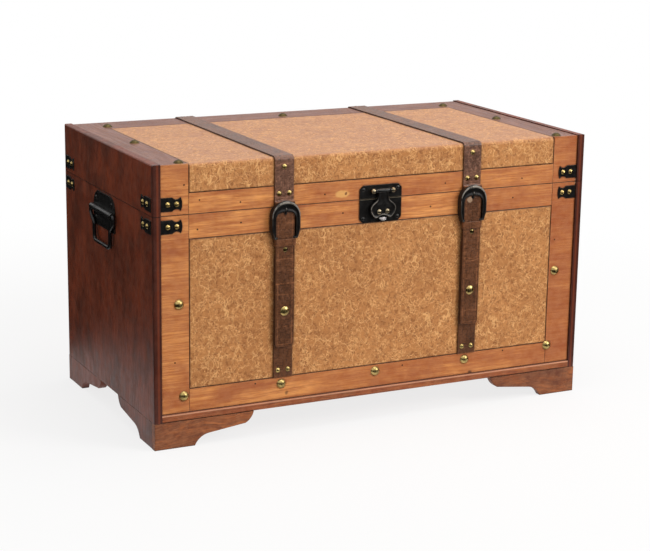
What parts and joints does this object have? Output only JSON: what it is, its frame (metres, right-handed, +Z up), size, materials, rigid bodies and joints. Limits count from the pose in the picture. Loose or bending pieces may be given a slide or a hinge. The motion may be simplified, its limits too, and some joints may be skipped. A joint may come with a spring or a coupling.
{
  "type": "storage trunk",
  "caption": "Wooden trunk with leatherette panels, a lid on back hinges, buckled straps, a hasp latch and a drop handle on each end.",
  "frame": {"origin": "middle of the floor under the trunk, at the bottom centre of its box", "axes": "+X along the front to the viewer's right, +Y to the back, +Z up"},
  "size_m": [0.7806, 0.424, 0.4455],
  "materials": {
    "end_wood": "dark red-brown stain with a dull gloss, worn at the edges",
    "strip_wood": "honey stain, satin",
    "board_wood": "plain stained board",
    "leatherette": "camel leatherette with pale crackle veins",
    "strap_leather": "dark brown embossed leather",
    "black_metal": "black with bronze wear",
    "nail_brass": "antique brass"
  },
  "bodies": {
    "body": {"body_side_left": "end_wood", "body_side_right": "end_wood", "body_front_board": "board_wood", "body_back_board": "end_wood", "floor_board": "board_wood", "body_leather": "leatherette", "body_stile_left": "strip_wood", "body_stile_right": "strip_wood", "body_top_rail": "strip_wood", "body_bottom_rail": "strip_wood", "foot_front_left": "strip_wood", "foot_front_right": "strip_wood", "foot_back_left": "end_wood", "foot_back_right": "end_wood", "foot_end_left_front": "end_wood", "foot_end_left_back": "end_wood", "foot_end_right_front": "end_wood", "foot_end_right_back": "end_wood", "body_strap_left": "strap_leather", "body_strap_right": "strap_leather", "body_small_nails": "nail_brass", "body_dome_nails": "nail_brass", "body_corner_plates": "black_metal", "latch_catch_plate": "black_metal", "hinge_lower_leaves": "black_metal", "hinge_pins": "black_metal", "body_screws": "black_metal", "handle_plate_left": "black_metal", "handle_plate_right": "black_metal", "stud_sockets": "nail_brass"},
    "lid": {"lid_side_left": "end_wood", "lid_side_right": "end_wood", "lid_front_board": "board_wood", "lid_back_board": "end_wood", "lid_top_board": "board_wood", "lid_leather": "leatherette", "lid_front_rail": "strip_wood", "lid_stile_left": "strip_wood", "lid_stile_right": "strip_wood", "lid_batten_left": "strip_wood", "lid_batten_right": "strip_wood", "lid_batten_back": "strip_wood", "lid_strap_left": "strap_leather", "lid_strap_right": "strap_leather", "lid_small_nails": "nail_brass", "lid_dome_nails": "nail_brass", "lid_corner_plates": "black_metal", "hinge_upper_leaves": "black_metal", "latch_hinge_plate": "black_metal", "latch_pin": "nail_brass", "lid_screws": "black_metal"},
    "hasp": {"latch_hasp": "black_metal"},
    "bail_left": {"handle_bail_left": "black_metal"},
    "bail_right": {"handle_bail_right": "black_metal"},
    "strap_end_left": {"strap_tongue_left": "strap_leather", "buckle_left": "black_metal", "strap_studs_left": "nail_brass"},
    "strap_end_right": {"strap_tongue_right": "strap_leather", "buckle_right": "black_metal", "strap_studs_right": "nail_brass"}
  },
  "joints": [
    {"name": "lid_hinge", "type": "hinge", "parent": "body", "child": "lid", "pos_m": [0, 0.20888, 0.364], "axis": [-1, 0, 0], "range_deg": [0, 100]},
    {"name": "hasp_hinge", "type": "hinge", "parent": "lid", "child": "hasp", "pos_m": [0.003, -0.20722, 0.3768], "axis": [-1, 0, 0], "range_deg": [0, 165]},
    {"name": "bail_left_hinge", "type": "hinge", "parent": "body", "child": "bail_left", "pos_m": [-0.3854, 0.00847, 0.333], "axis": [0, 1, 0], "range_deg": [0, 90]},
    {"name": "bail_right_hinge", "type": "hinge", "parent": "body", "child": "bail_right", "pos_m": [0.3854, 0.00847, 0.333], "axis": [0, -1, 0], "range_deg": [0, 90]},
    {"name": "strap_end_left_flex", "type": "hinge", "parent": "lid", "child": "strap_end_left", "pos_m": [-0.166, -0.20677, 0.3712], "axis": [-1, 0, 0], "range_deg": [0, 90]},
    {"name": "strap_end_right_flex", "type": "hinge", "parent": "lid", "child": "strap_end_right", "pos_m": [0.166, -0.20677, 0.3712], "axis": [-1, 0, 0], "range_deg": [0, 90]}
  ]
}
